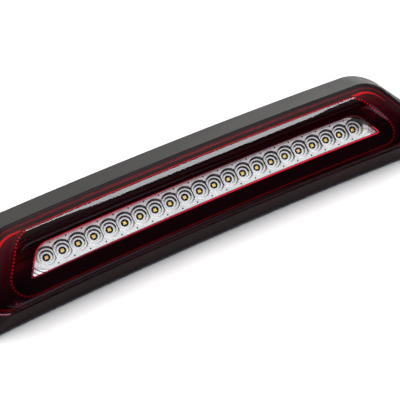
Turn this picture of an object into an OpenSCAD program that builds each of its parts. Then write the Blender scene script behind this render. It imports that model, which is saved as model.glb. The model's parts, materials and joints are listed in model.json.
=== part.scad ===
// Third brake light for the rear edge of a truck cab roof: a smoked red lens with a lit
// guide ring around a shallow pocket, and a clear cargo window with a row of LEDs.
//
// Frame: +X runs along the lamp, +Z is up and the lens looks along -Y. The origin lies on
// the plane of the gasket's rear face, at the centre of the four mounting studs.
//
// Every outline is a rounded trapezoid [half width at its bottom edge, top height, bottom
// height, top corner radius, bottom corner radius], bent to follow the crown of the roof.
// The freeform shells are lofts through such outlines.

/* [Outline] */
// Half width of the housing flange at its bottom edge
flange_half = 212; // [206:1:216]
// Height of the flange's top edge above the studs' centre
flange_top = 40; // [39:0.1:40.5]
// Height of the flange's bottom edge
flange_bottom = -39; // [-40:0.1:-38.5]
// Lean of both ends towards the top, in degrees
end_lean = 31; // [30:0.5:32]
// Crown radius of the roof that the lamp follows
crown_r = 4500; // [4000:100:6000]

/* [Depth] */
// Thickness of the foam gasket behind the flange
gasket_t = 4; // [3:0.5:4]
// Thickness of the flange
flange_t = 3; // [2.5:0.5:3]
// Forward lean of the whole front, in degrees: its top stands further from the roof
face_lean = 8; // [7:0.5:8]
// Distance from the mounting plane to the crease where the housing meets the lens
crease_y = 27; // [26.8:0.1:27.2]
// Distance from the mounting plane to the crest of the lens
crest_y = 37.5; // [37.4:0.1:37.8]
// Distance from the mounting plane to the face of the clear window
window_y = 34; // [33.9:0.1:34.1]
// Distance from the mounting plane to the top faces of the cargo LEDs
led_y = 23; // [22.8:0.1:23]

/* [Cargo light] */
// Number of cargo LEDs
led_count = 22; // [2:2:22]
// Distance between the LEDs
led_pitch = 12; // [11.5:0.1:12]
// Height of the LED row
led_z = -8; // [-8.2:0.1:-7.8]
// Depth of a reflector cup above the top of its LED
cup_depth = 4.9; // [4.6:0.1:5]
// Radius of a reflector cup at its rim, cut off by the cups beside it
cup_rim_r = 7.2; // [6.8:0.1:7.4]
// Radius of the step inside a reflector cup
cup_step_r = 5.4; // [5.2:0.1:5.6]
// Radius of the hole that each LED looks through
cup_hole_r = 2.8; // [2.6:0.1:3]
// Side of a cargo LED's package
led_size = 3; // [2.8:0.1:3.2]

/* [Brake light] */
// Distance between the prism teeth of the light guide
tooth_pitch = 2.4; // [2.4:0.1:4]
// Number of brake LEDs behind each end of the light guide
brake_led_count = 5; // [2:1:5]

/* [Shells] */
// Wall thickness of the smoked lens
lens_t = 1.8; // [1.6:0.1:1.9]
// Wall thickness of the housing and the rear cover
wall_t = 2.5; // [2:0.1:2.8]
// Depth of the rear cover behind the mounting plane
cover_depth = 14; // [13:0.5:16]

/* [Mounting] */
// Radius of the mounting studs
stud_r = 3; // [2.5:0.1:3]
// Length of the free stud behind the mounting plane
stud_len = 22; // [18:1:26]
// Distance between the studs along the lamp
stud_dx = 320; // [316:1:324]
// Distance between the studs across the lamp
stud_dz = 36; // [34:1:36]

/* [Hidden] */

edge_steps = 7;
arc_steps = 6;
fine = 48;
gap = 0.15;
through = 1;         // how far a cutting shape runs past the wall it cuts

// Outlines
flange = [flange_half, flange_top, flange_bottom, 32, 18];
crease = [flange_half - 21, led_z + 30.5, led_z - 26.9, 24, 18];
shoulder = [177.6, led_z + 24, led_z - 25.1, 21, 14];
brow = [168.5, led_z + 19.3, led_z - 23.3, 18, 12];
crest = [162, led_z + 14.5, led_z - 20, 14, 11];
foot = [154.3, led_z + 10.8, led_z - 15, 12, 8];
guide = [163.8, led_z + 21.7, led_z - 21.9, 18, 12];
rim = [182, led_z + 25.4, led_z - 22.9, 20, 12];
slope = [173, led_z + 24.6, led_z - 23.3, 19, 12.5];
window = [140.4, led_z + 8.1, led_z - 10.6, 12, 1];
plated = [140.1, led_z + 9.8, led_z - 9.9, 12, 1];
port = [120, led_z + 7.5, led_z - 7.5, 6, 4];
cover = [150, led_z + 22, led_z - 18, 12, 8];

// Places worked out from the driving sizes
board_front = 1 - led_y;
board_t = 1.6;
board_back = board_front + board_t;
spreader_t = 1.5;
spreader_back = board_back + spreader_t;
reflector_face = -led_y - cup_depth;
window_t = 2.1;
brake_board_y = -22;
guide_y = 5.8 - crest_y;
guide_half = 0.9;
guide_deep = 3.1;
flange_front = -gasket_t - flange_t;
cover_floor = cover_depth - wall_t;
seal_t = 1;
driver_y = 4.5;
driver_t = 1.6;
driver_half = 62;
driver_z = led_z + 2;
socket_x = 64;
socket_z = led_z + 2;
vent_x = -70;
post_x = [-118, -42, 42, 118];
post_z = 12.4;
cover_screw_x = [-104, 0, 104];
vent_dx = 11;
seal_r = 9;
collar_r = 5.5;
phosphor_r = 0.39 * led_size;
phosphor_t = 0.3;
bezel_t = 1.2;
bead_y = -crease_y + 3.6;
bead_t = 1.6;
skirt_y = -crease_y + 3.5;
brake_led_x = 154;
brake_led_z = led_z - 6;
brake_led_pitch = 4.4;
post_r = 3.2;
post_hole_r = 1.6;
pin_pitch = 4.4;
pin_places = [-1.5:1.5];
wire_r = 0.7;
wire_x = [48, 52];
screw_head_t = 1.9;
resistor_x = [-108:24:108];
wire_route = [[0, 2], [0, -4], [4, -9], [10, -13], [14, -16.5], [14, spreader_back + 0.8]];

// Outline functions
function inset(o, d) = [o[0] - d * (1 + sin(end_lean)) / cos(end_lean), o[1] - d, o[2] + d,
    max(o[3] - d, 0.8), max(o[4] - d, 0.8)];
function between(a, b, t) = a * (1 - t) + b * t;
function drop(x) = x * x / (2 * crown_r);
function lean(z) = tan(face_lean) * (z - led_z);
function fillet_x(o, r, z) = o[0] - (r + sin(end_lean) * (z - o[2])) / cos(end_lean);
function arc(cx, cz, r, a0, a1) = [for (i = [0:arc_steps])
    let (a = a0 + (a1 - a0) * i / arc_steps) [cx + r * cos(a), cz + r * sin(a)]];
function half_outline(o) = let (
        zb = o[2] + o[4],
        zt = o[1] - o[3],
        xb = fillet_x(o, o[4], zb),
        xt = fillet_x(o, o[3], zt))
    concat(
        [for (i = [0:edge_steps - 1]) [xb * i / edge_steps, o[2]]],
        arc(xb, zb, o[4], -90, end_lean),
        arc(xt, zt, o[3], end_lean, 90),
        [for (i = [1:edge_steps]) [xt * (1 - i / edge_steps), o[1]]]);
function outline(o) = let (h = half_outline(o), n = len(h))
    [for (p = concat(h, [for (i = [n - 2:-1:1]) [-h[i][0], h[i][1]]]))
        [p[0], p[1] - drop(p[0])]];

// Prism teeth: every stretch of the outline is divided into whole teeth, and the points
// alternate between a valley and a peak.
function toothed(o, valley, peak) = let (p = outline(o), n = len(p))
    [for (i = [0:n - 1])
        let (a = p[i], b = p[(i + 1) % n], k = max(1, round(norm(b - a) / tooth_pitch)))
        for (j = [0:2 * k - 1])
            let (q = between(a, b, j / (2 * k)))
                [q[0], (j % 2 == 0 ? valley : peak) - lean(q[1]), q[1]]];

// A closed skin through rings of points. A capped skin has flat ends; an open one closes
// from its last ring back to its first.
module skin(rings, capped) {
    n = len(rings[0]);
    m = len(rings);
    last = capped ? m - 2 : m - 1;
    sides = [for (k = [0:last]) for (i = [0:n - 1])
        let (a = k * n + i, b = k * n + (i + 1) % n,
             d = ((k + 1) % m) * n + i, c = ((k + 1) % m) * n + (i + 1) % n)
        each [[a, b, c], [a, c, d]]];
    caps = capped ? [[for (i = [n - 1:-1:0]) i], [for (i = [0:n - 1]) (m - 1) * n + i]] : [];
    polyhedron(points = [for (r = rings) each r], faces = concat(sides, caps));
}

// A skin through outlines, each given as [outline, y, share], where share is how much of
// the front's lean a level takes.
module loft(levels, capped) {
    skin([for (l = levels) [for (p = outline(l[0])) [p[0], l[1] - l[2] * lean(p[1]), p[1]]]],
        capped);
}

// A flat plate with an outline, from y0 to y1.
module plate(o, y0, y1) {
    translate([0, y1, 0]) rotate([90, 0, 0]) linear_extrude(y1 - y0) polygon(outline(o));
}

// Stand a shape made along +Z along +Y at a point, starting at y.
module along_y(x, y, z) {
    translate([x, y, z]) rotate([-90, 0, 0]) children();
}

module rod(x, z, r, y0, y1) {
    along_y(x, y0, z) cylinder(r = r, h = y1 - y0, $fn = fine);
}

module block(x, z, dx, dz, y0, y1) {
    translate([x - dx / 2, y0, z - dz / 2]) cube([dx, y1 - y0, dz]);
}

// A pan head screw along +Y: its head in front of seat_y, or behind it when flipped.
module pan_screw(x, z, seat_y, shank_r, head_r, length, flipped) {
    translate([x, seat_y, z]) rotate([flipped ? 90 : -90, 0, 0]) difference() {
        union() {
            cylinder(r = shank_r, h = length, $fn = fine);
            translate([0, 0, -screw_head_t])
                cylinder(r1 = head_r * 0.75, r2 = head_r, h = 0.7, $fn = fine);
            translate([0, 0, 0.7 - screw_head_t])
                cylinder(r = head_r, h = screw_head_t - 0.7, $fn = fine);
        }
        for (a = [0, 90]) rotate([0, 0, a]) translate([-0.35, -head_r * 0.55, -2])
            cube([0.7, head_r * 1.1, 1.1]);
    }
}

module at_leds() {
    for (i = [0:led_count - 1]) {
        x = (i - (led_count - 1) / 2) * led_pitch;
        translate([x, 0, led_z - drop(x)]) children();
    }
}

module at_posts() {
    for (x = post_x) for (s = [-1, 1]) translate([x, 0, led_z + s * post_z - drop(x)]) children();
}

module at_cover_screws() {
    for (x = cover_screw_x) {
        translate([x, 0, cover[1] - 5 - drop(x)]) children();
        translate([x, 0, cover[2] + 5 - drop(x)]) children();
    }
}

module at_driver_posts() {
    for (x = [-1, 1]) for (z = [-1, 1])
        translate([x * (driver_half - 4), 0, driver_z + z * 8]) children();
}

module at_vents() {
    for (s = [-1, 1]) translate([vent_x + s * vent_dx, 0, led_z + 2]) children();
}

module at_studs() {
    for (x = [-1, 1]) for (z = [-1, 1]) translate([x * stud_dx / 2, 0, z * stud_dz / 2]) children();
}

// Black housing: the sloped rim around the lens, the flange, and the back wall with the
// wiring port.
module housing() {
    color([0.12, 0.12, 0.12]) loft([
        [inset(crease, 1.3), -crease_y, 1],
        [crease, -crease_y - 0.5, 1],
        [between(crease, flange, 0.5), -between(crease_y, -flange_front, 0.45), 0.55],
        [inset(flange, 0.5), flange_front - 0.6, 0],
        [flange, flange_front, 0],
        [flange, -gasket_t, 0],
        [port, -gasket_t, 0],
        [port, flange_front, 0],
        [inset(flange, 5), flange_front, 0],
        [inset(crease, 1.3), -crease_y + 5, 1]], false);
}

// Standoffs that carry the LED board and its heat spreader in front of the back wall.
module board_standoffs() {
    color([0.15, 0.15, 0.16]) at_posts() difference() {
        rod(0, 0, post_r, spreader_back, flange_front);
        rod(0, 0, post_hole_r - 0.15, spreader_back - through, flange_front - 2);
    }
}

// Domed rear cover over the wiring port, with ribs, screw ears and driver posts.
module rear_cover() {
    color([0.09, 0.09, 0.1]) difference() {
        union() {
            difference() {
                plate(cover, seal_t - gasket_t, cover_depth);
                plate(inset(cover, wall_t), -gasket_t - 1, cover_floor);
            }
            at_cover_screws() rod(0, 0, 4.2, gap - gasket_t, cover_floor + 1);
            at_driver_posts() rod(0, 0, 2.4, driver_y + driver_t, cover_floor + 1);
            for (z = [cover[2] + 12, cover[1] - 12])
                block(0, z - 1.5, 200, 1.6, cover_depth - 1, cover_depth + 2);
            for (x = [-100:20:100])
                if (abs(x - socket_x) > 20 && abs(x - vent_x) > 25)
                    block(x, led_z + 0.5, 1.6, 20, cover_depth - 1, cover_depth + 2);
        }
        at_cover_screws() rod(0, 0, 1.7, -gasket_t - 1, cover_depth + 1);
        at_cover_screws() rod(0, 0, 3.1, cover_depth - 2, cover_depth + 1);
        block(socket_x, socket_z, 25, 15, cover_floor - 1, cover_depth + 1);
        at_vents() rod(0, 0, 3, cover_floor - through, cover_depth + through);
    }
}

// Rubber ring between the rear cover's edge and the housing's back wall.
module cover_seal() {
    color([0.05, 0.05, 0.05]) difference() {
        plate(inset(cover, 0.4), -gasket_t, seal_t - gasket_t);
        plate(inset(cover, wall_t - 0.4), -gasket_t - through, 0);
    }
}

module cover_screws() {
    color([0.75, 0.75, 0.78]) at_cover_screws()
        pan_screw(0, 0, cover_depth - 2, 1.5, 2.8, cover_depth + gasket_t + flange_t - 2.5, true);
}

// Smoked red lens: the skirt in the housing's groove, the shoulder, the crest and the
// pocket around the window. The crest stands proud along the top and runs out flush with
// the window along the bottom. Each level is [outline, y, share, tilt], where tilt is the
// way the wall's thickness points: 0 straight back, 90 inwards.
function lens_levels() = [
    [inset(crease, 1.6), skirt_y, 1, 90],
    [inset(crease, 1.6), -crease_y - 0.5, 1, 90],
    [inset(crease, 0.7), -crease_y - 0.9, 1, 80],
    [inset(crease, 1.2), -crease_y - 1.5, 1, 60],
    [between(crease, shoulder, 0.54), -crease_y - 3.5, 1, 41],
    [shoulder, 4.5 - crest_y, 1, 39],
    [between(shoulder, brow, 0.57), 3.1 - crest_y, 1.2, 34],
    [brow, 2.3 - crest_y, 1.36, 27],
    [between(brow, crest, 0.42), 1.8 - crest_y, 1.51, 21],
    [between(brow, crest, 0.83), 1.45 - crest_y, 1.68, 14],
    [crest, 1.4 - crest_y, 1.71, 12],
    [between(crest, foot, 0.19), 1.6 - crest_y, 1.68, -5],
    [between(crest, foot, 0.57), -window_y - 0.85, 1.33, -40],
    [foot, -window_y - 0.12, 1.05, -20],
    [between(foot, window, 0.37), -window_y - 0.02, 1, 0],
    [window, -window_y, 1, 0]];

module outer_lens() {
    outer = lens_levels();
    m = len(outer);
    color([0.35, 0.03, 0.06]) loft(concat(
        [for (l = outer) [l[0], l[1], l[2]]],
        [for (i = [m - 1:-1:0]) let (l = outer[i], back = i == 0 ? 0 : lens_t * cos(l[3]))
            [inset(l[0], lens_t * sin(l[3])), l[1] + back, l[2]]]),
        false);
}

module clear_window() {
    color([0.86, 0.9, 0.92]) loft([
        [inset(window, 0.9), -window_y - 0.35, 1],
        [inset(window, gap), -window_y + 0.15, 1],
        [inset(window, gap), -window_y + window_t, 1]], true);
}

// Adhesive bead that bonds the lens skirt into the groove.
module lens_bond_bead() {
    color([0.06, 0.06, 0.07]) loft([
        [inset(crease, 3.9), bead_y, 1],
        [inset(crease, 1.5), bead_y, 1],
        [inset(crease, 1.5), bead_y + bead_t, 1],
        [inset(crease, 3.9), bead_y + bead_t, 1]], false);
}

// Red light guide: a closed loop with prism teeth on its front.
module light_guide() {
    back = guide_y + guide_deep;
    color([0.85, 0.05, 0.1]) skin([
        toothed(inset(guide, guide_half), back, back),
        toothed(inset(guide, guide_half), guide_y + 0.5, guide_y + 0.5),
        toothed(guide, guide_y + 0.9, guide_y),
        toothed(inset(guide, -guide_half), guide_y + 0.5, guide_y + 0.5),
        toothed(inset(guide, -guide_half), back, back)], false);
}

// Dark inner bezel: the shoulder under the lens, the groove for the light guide, and the
// floor around the window.
module inner_bezel() {
    groove = guide_y + guide_deep + 0.2;
    floor_y = -window_y + 2.7;
    brim = inset(guide, -1.05);
    lip = inset(guide, 1.05);
    ledge = inset(guide, 1.7);
    opening = inset(window, -0.3);
    color([0.16, 0.1, 0.12]) loft([
        [rim, -crease_y + 0.6, 1],
        [slope, -crease_y - 1.4, 1],
        [inset(guide, -1.75), guide_y + 1.5, 1],
        [brim, guide_y + 1.5, 1],
        [brim, groove, 1],
        [lip, groove, 1],
        [lip, guide_y + 1.8, 1],
        [ledge, guide_y + 1.8, 1],
        [foot, floor_y, 1],
        [opening, floor_y, 1],
        [opening, floor_y + bezel_t, 1],
        [foot, floor_y + bezel_t, 1],
        [ledge, groove + bezel_t, 1],
        [inset(guide, -0.2), groove + bezel_t, 1],
        [inset(slope, bezel_t), groove + bezel_t + 0.1, 1],
        [inset(rim, bezel_t), -crease_y + 0.6 + bezel_t, 1]], false);
}

// Space of one reflector cup: the LED's hole, the inner cone, the step and the outer cone,
// kept inside its own cell between the neighbouring cups.
module cup() {
    intersection() {
        union() {
            rod(0, 0, cup_hole_r, -led_y - 0.5, board_front + 0.5);
            along_y(0, reflector_face + cup_depth / 2, 0)
                cylinder(r1 = cup_step_r - 0.5, r2 = cup_hole_r, h = cup_depth / 2 + 0.01, $fn = fine);
            along_y(0, reflector_face, 0)
                cylinder(r1 = cup_rim_r, r2 = cup_step_r, h = cup_depth / 2 + 0.01, $fn = fine);
            rod(0, 0, cup_rim_r, reflector_face - 1, reflector_face + 0.001);
        }
        block(0, 0, led_pitch - 0.3, 20, reflector_face - 0.5, board_front + 0.4);
    }
}

module chrome_reflector() {
    color([0.85, 0.86, 0.88]) difference() {
        plate(plated, reflector_face, board_front);
        at_leds() cup();
    }
}

// Black circuit board that carries the cargo LEDs and the reflector.
module led_board() {
    color([0.04, 0.04, 0.04]) difference() {
        plate(inset(window, -7.4), board_front, board_back);
        at_posts() rod(0, 0, post_hole_r, board_front - through, board_back + through);
    }
}

module cargo_leds() {
    color([0.95, 0.95, 0.93]) at_leds() difference() {
        block(0, 0, led_size, led_size, -led_y - 0.05, board_front);
        rod(0, 0, phosphor_r + 0.02, -led_y - through, -led_y + phosphor_t);
    }
}

module led_phosphors() {
    color([0.95, 0.8, 0.3]) at_leds()
        rod(0, 0, phosphor_r, -led_y + 0.02, -led_y + phosphor_t);
}

// A row of chip resistors along the board's top edge, beyond the reflector.
module board_resistors() {
    color([0.08, 0.08, 0.09]) for (x = resistor_x)
        block(x, led_z + 13 - drop(x), 2, 1.25, board_front - 0.55, board_front);
}

module heat_spreader() {
    color([0.7, 0.71, 0.73]) difference() {
        plate(inset(window, -6.4), board_back, spreader_back);
        at_posts() rod(0, 0, post_hole_r, board_back - through, spreader_back + through);
    }
}

module board_screws() {
    color([0.78, 0.78, 0.8]) at_posts() pan_screw(0, 0, board_front, 1.4, 2.7, 9, false);
}

// Two small boards that light the ends of the light guide.
module at_brake_boards() {
    for (s = [-1, 1]) translate([s * brake_led_x, 0, brake_led_z - drop(brake_led_x)]) children();
}

module brake_led_boards() {
    color([0.1, 0.3, 0.15]) at_brake_boards()
        block(0, 0, 12, 24, brake_board_y, brake_board_y + board_t);
}

module brake_leds() {
    color([0.9, 0.2, 0.2]) at_brake_boards() for (i = [0:brake_led_count - 1])
        block(0, (i - (brake_led_count - 1) / 2) * brake_led_pitch, 2.8, 3.5,
            brake_board_y - 1.9, brake_board_y);
}

module driver_board() {
    color([0.1, 0.35, 0.2]) difference() {
        block(0, driver_z, 2 * driver_half, 22, driver_y, driver_y + driver_t);
        at_driver_posts() rod(0, 0, 1.4, driver_y - 1, driver_y + driver_t + 1);
    }
}

module driver_coils() {
    color([0.25, 0.25, 0.27]) for (x = [-36, -14]) {
        rod(x, driver_z, 4, driver_y - 4, driver_y);
        rod(x, driver_z, 3, driver_y - 5, driver_y - 4);
    }
}

module driver_chips() {
    color([0.07, 0.07, 0.08]) for (x = [8, 22, 40]) for (z = [-4, 4])
        block(x, driver_z + z, 5, 4, driver_y - 1.6, driver_y);
}

module driver_screws() {
    color([0.78, 0.78, 0.8]) at_driver_posts() pan_screw(0, 0, driver_y, 1.2, 2.2, 5, false);
}

// Two jumper wires from the driver board forward to the LED board, through the port.
module wire(x0) {
    for (i = [0:len(wire_route) - 2]) hull() {
        for (k = [0, 1]) translate([x0 + wire_route[i + k][0], wire_route[i + k][1], driver_z])
            sphere(r = wire_r, $fn = 8);
    }
}

module jumper_wires() {
    color([0.7, 0.1, 0.1]) wire(wire_x[0]);
    color([0.1, 0.1, 0.1]) wire(wire_x[1]);
}

module wire_clips() {
    color([0.9, 0.9, 0.88]) difference() {
        block(53, driver_z, 14, 4.4, -12.2, -10.6);
        block(54, driver_z, 9.5, 1.7, -13, -10);
    }
}

// Moulded four-way connector socket: its mouth opens to the rear.
module connector_socket() {
    color([0.14, 0.14, 0.15]) difference() {
        union() {
            block(socket_x, socket_z, 30, 20, cover_depth, cover_depth + 1.6);
            block(socket_x, socket_z, 24, 14, cover_floor - 4, cover_depth + 15);
            block(socket_x, socket_z + 8.2, 8, 3, cover_depth + 4, cover_depth + 12);
        }
        block(socket_x, socket_z, 20, 10, cover_depth, cover_depth + 16);
        for (i = pin_places) block(socket_x + i * pin_pitch, socket_z, 1.9, 0.9, 0, cover_depth + through);
    }
}

module terminal_pins() {
    color([0.8, 0.7, 0.4]) for (i = pin_places)
        block(socket_x + i * pin_pitch, socket_z, 1.8, 0.8, cover_floor - 5.5, cover_depth + 9);
}

// Rubber ring around the connector under its flange.
module socket_seal() {
    color([0.85, 0.35, 0.1]) difference() {
        block(socket_x, socket_z, 31.6, 21.6, cover_depth, cover_depth + 1.2);
        block(socket_x, socket_z, 30.2, 20.2, cover_depth - 1, cover_depth + 2);
    }
}

module vent_caps() {
    color([0.13, 0.13, 0.14]) at_vents() difference() {
        rod(0, 0, 7, cover_depth, cover_depth + 3.2);
        rod(0, 0, 5.4, cover_depth - through, cover_depth + 2);
        for (a = [0:60:300])
            rotate([0, a, 0]) block(0, 6, 2, 3, cover_depth - through, cover_depth + 1);
    }
}

module vent_membranes() {
    color([0.95, 0.95, 0.95]) at_vents() rod(0, 0, 4.6, cover_depth, cover_depth + 0.4);
}

module rear_gasket() {
    color([0.08, 0.08, 0.08]) difference() {
        plate(inset(flange, 2.5), -gasket_t, 0);
        plate(inset(flange, 12), -gasket_t - through, through);
        at_studs() rod(0, 0, seal_r + gap, -gasket_t - through, through);
    }
}

// Mounting studs: a knurled root in the housing, a shoulder that limits the gasket's
// crush, and the free stud.
module mounting_studs() {
    color([0.75, 0.72, 0.6]) at_studs() {
        rod(0, 0, stud_r + 0.6, -gasket_t - 2, -gasket_t);
        rod(0, 0, collar_r, -gasket_t, 0);
        rod(0, 0, stud_r, 0, stud_len - 1);
        along_y(0, stud_len - 1, 0) cylinder(r1 = stud_r, r2 = stud_r - 0.8, h = 1, $fn = fine);
    }
}

module stud_seals() {
    color([0.1, 0.1, 0.1]) at_studs() difference() {
        rod(0, 0, seal_r, -gasket_t, -0.4);
        rod(0, 0, collar_r + 0.1, -gasket_t - through, through);
    }
}

housing();
rear_cover();
cover_seal();
cover_screws();
outer_lens();
clear_window();
lens_bond_bead();
light_guide();
inner_bezel();
chrome_reflector();
led_board();
cargo_leds();
led_phosphors();
board_resistors();
heat_spreader();
board_screws();
board_standoffs();
brake_led_boards();
brake_leds();
driver_board();
driver_coils();
driver_chips();
driver_screws();
jumper_wires();
wire_clips();
connector_socket();
terminal_pins();
socket_seal();
vent_caps();
vent_membranes();
rear_gasket();
mounting_studs();
stud_seals();
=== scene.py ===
import json
import math

import bmesh
import bpy
import numpy as np
from mathutils import Matrix, Vector


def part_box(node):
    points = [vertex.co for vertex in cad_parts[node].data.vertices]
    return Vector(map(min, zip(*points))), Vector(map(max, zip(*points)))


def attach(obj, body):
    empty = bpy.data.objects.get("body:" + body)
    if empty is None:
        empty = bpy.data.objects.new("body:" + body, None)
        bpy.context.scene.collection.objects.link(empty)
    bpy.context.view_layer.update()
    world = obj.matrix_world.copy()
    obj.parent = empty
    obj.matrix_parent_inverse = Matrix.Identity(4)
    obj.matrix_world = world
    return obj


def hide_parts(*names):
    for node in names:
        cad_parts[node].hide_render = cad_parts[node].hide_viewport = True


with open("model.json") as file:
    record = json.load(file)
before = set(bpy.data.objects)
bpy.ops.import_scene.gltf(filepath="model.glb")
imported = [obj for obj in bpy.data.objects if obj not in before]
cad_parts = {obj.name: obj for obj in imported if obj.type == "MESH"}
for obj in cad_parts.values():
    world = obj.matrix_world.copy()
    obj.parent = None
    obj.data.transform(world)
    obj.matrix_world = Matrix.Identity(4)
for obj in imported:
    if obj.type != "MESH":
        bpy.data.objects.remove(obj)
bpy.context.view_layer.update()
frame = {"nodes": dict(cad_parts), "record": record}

scene = bpy.context.scene
MM = 0.001

# ---------------------------------------------------------------- driving sizes (mm)
LEAN = math.radians(31)        # both ends lean inwards towards the top
FACE_LEAN = math.tan(math.radians(8))   # the whole front leans forwards towards its top
CROWN_R = 4500                 # crown radius of the roof that the lamp follows
LED_COUNT = 22
LED_PITCH = 12
ROW_Z = -8                     # height of the LED row
LED_Y = -23                    # top faces of the LEDs
CREASE_Y = -27                 # where the housing meets the lens
CREST_Y = -37.5                # crest of the lens
WINDOW_Y = -34                 # face of the clear window
WINDOW_T = 2.1                 # thickness of the clear window
LENS_T = 1.8
GASKET_T = 4
FLANGE_FRONT = -7              # front of the flange round the housing's foot
GUIDE_Y = CREST_Y + 5.8        # tips of the light guide's teeth
GUIDE_HALF = 0.9               # half the light guide's width
GUIDE_DEEP = 3.1
GROOVE_Y = GUIDE_Y + GUIDE_DEEP + 0.2   # bottom of the groove that holds the light guide
BOARD_Y = LED_Y + 1            # front of the LED board

# Outlines: half width at the bottom edge, top, bottom, top radius, bottom radius
FLANGE = (212, 40, -39, 32, 18)                              # foot of the housing
CREASE = (191, ROW_Z + 30.5, ROW_Z - 26.9, 24, 18)           # the housing's edge at the lens
SHOULDER = (177.6, ROW_Z + 24, ROW_Z - 25.1, 21, 14)         # four lines round the lens
BROW = (168.5, ROW_Z + 19.3, ROW_Z - 23.3, 18, 12)
CREST = (162, ROW_Z + 14.5, ROW_Z - 20, 14, 11)
FOOT = (154.3, ROW_Z + 10.8, ROW_Z - 15, 12, 8)
GUIDE = (163.8, ROW_Z + 21.7, ROW_Z - 21.9, 18, 12)          # middle of the light guide
RIM = (182, ROW_Z + 25.4, ROW_Z - 22.9, 20, 12)              # outside of the bezel's rim
SLOPE = (173, ROW_Z + 24.6, ROW_Z - 23.3, 19, 12.5)
WINDOW = (140.4, ROW_Z + 8.1, ROW_Z - 10.6, 12, 1)           # the clear window
PLATED = (143.6, ROW_Z + 10.3, ROW_Z - 10.4, 12, 1)          # the reflector plate
PORT = (120, ROW_Z + 7.5, ROW_Z - 7.5, 6, 4)                 # opening in the housing's back

# Points along half an outline: bottom edge, bottom corner, side, top corner, top edge
STRETCHES = (60, 28, 60, 28, 60)


# ---------------------------------------------------------------- outlines and skins
def inset(o, d):
    """The outline moved inwards by d."""
    return (o[0] - d * (1 + math.sin(LEAN)) / math.cos(LEAN), o[1] - d, o[2] + d,
            max(o[3] - d, 0.8), max(o[4] - d, 0.8))


def lowered(o, d):
    """The outline moved down by d."""
    return (o[0], o[1] - d, o[2] - d, *o[3:])


def between(a, b, t):
    """The outline at share t of the way from a to b."""
    return tuple(p * (1 - t) + q * t for p, q in zip(a, b))


def drop(x):
    """How far the crown lowers a point at x."""
    return x * x / (2 * CROWN_R)


def side_x(o, z):
    """Where an outline's leaning side is at height z."""
    return o[0] - (z - o[2]) * math.tan(LEAN)


def outline(o):
    """Points (x, z) round an outline, anticlockwise seen from the front."""
    half_w, top, bottom, rt, rb = o
    sin, cos = math.sin(LEAN), math.cos(LEAN)
    zb, zt = bottom + rb, top - rt
    xb = half_w - (rb + sin * (zb - bottom)) / cos
    xt = half_w - (rt + sin * (zt - bottom)) / cos
    n_bottom, n_low, n_side, n_high, n_top = STRETCHES
    low = np.linspace(-math.pi / 2, LEAN, n_low, endpoint=False)
    high = np.linspace(LEAN, math.pi / 2, n_high, endpoint=False)
    start = np.array([xb + rb * cos, zb + rb * sin])
    end = np.array([xt + rt * cos, zt + rt * sin])
    t_side = np.linspace(0, 1, n_side, endpoint=False)[:, None]
    t_bottom = np.linspace(0, 1, n_bottom, endpoint=False)
    t_top = np.linspace(0, 1, n_top)
    half = np.concatenate([
        np.stack([xb * t_bottom, np.full(n_bottom, bottom)], 1),
        np.stack([xb + rb * np.cos(low), zb + rb * np.sin(low)], 1),
        start * (1 - t_side) + end * t_side,
        np.stack([xt + rt * np.cos(high), zt + rt * np.sin(high)], 1),
        np.stack([xt * (1 - t_top), np.full(n_top, top)], 1)])
    mirrored = half[-2:0:-1] * (-1, 1)
    points = np.concatenate([half, mirrored])
    points[:, 1] -= drop(points[:, 0])
    return points


def ring(o, y, share=1.0):
    """The 3-D points of an outline at depth y, with a share of the front's lean."""
    p = outline(o)
    return np.stack([p[:, 0], y - share * FACE_LEAN * (p[:, 1] - ROW_Z), p[:, 1]], 1)


def curve_levels(levels, steps):
    """Levels joined by a smooth curve through all of them, with `steps` rows to a stretch."""
    flat = [np.array(list(l[0]) + list(l[1:]), float) for l in levels]
    out = []
    for i in range(len(flat) - 1):
        a, b = flat[i], flat[i + 1]
        before = flat[i - 1] if i else 2 * a - b
        after = flat[i + 2] if i + 2 < len(flat) else 2 * b - a
        for k in range(steps):
            t = k / steps
            p = 0.5 * (2 * a + (b - before) * t + (2 * before - 5 * a + 4 * b - after) * t ** 2
                       + (3 * a - before - 3 * b + after) * t ** 3)
            out.append((tuple(p[:5]),) + tuple(p[5:]))
    return out + [levels[-1]]


def weld(mesh):
    """Joins points that lie on each other, and drops the faces left with no area."""
    shape = bmesh.new()
    shape.from_mesh(mesh)
    bmesh.ops.remove_doubles(shape, verts=shape.verts, dist=0.002 * MM)
    shape.to_mesh(mesh)
    shape.free()



def mesh_object(name, vertices, faces, sharp=38, welded=False):
    """A piece from points in mm; edges that turn by more than `sharp` degrees stay crisp."""
    mesh = bpy.data.meshes.new(name)
    mesh.from_pydata([tuple(v) for v in np.asarray(vertices, float) * MM], [], faces)
    if welded:
        weld(mesh)
    mesh.validate()
    mesh.shade_smooth()
    mesh.set_sharp_from_angle(angle=math.radians(sharp))
    piece = bpy.data.objects.new(name, mesh)
    scene.collection.objects.link(piece)
    return piece


def add_tube(vertices, faces, rings, capped=True, tip=None):
    """Adds a skin through rings of points, front ring first, to lists of points and faces. It
    is capped at both ends, or its front runs to a tip, or its last ring joins its first."""
    start, n, rows = len(vertices), len(rings[0]), len(rings)
    vertices.extend(tuple(point) for points in rings for point in points)
    for k in range(rows - 1 if capped else rows):
        here = start + k * n
        there = start + (k + 1) % rows * n
        for i in range(n):
            j = (i + 1) % n
            faces.append((here + i, there + i, there + j, here + j))
    if not capped:
        return
    if tip:
        vertices.append(tip)
        faces.extend((start + i, start + (i + 1) % n, len(vertices) - 1) for i in range(n))
    else:
        faces.append(tuple(range(start, start + n)))
    faces.append(tuple(reversed(range(start + (rows - 1) * n, start + rows * n))))


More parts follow.
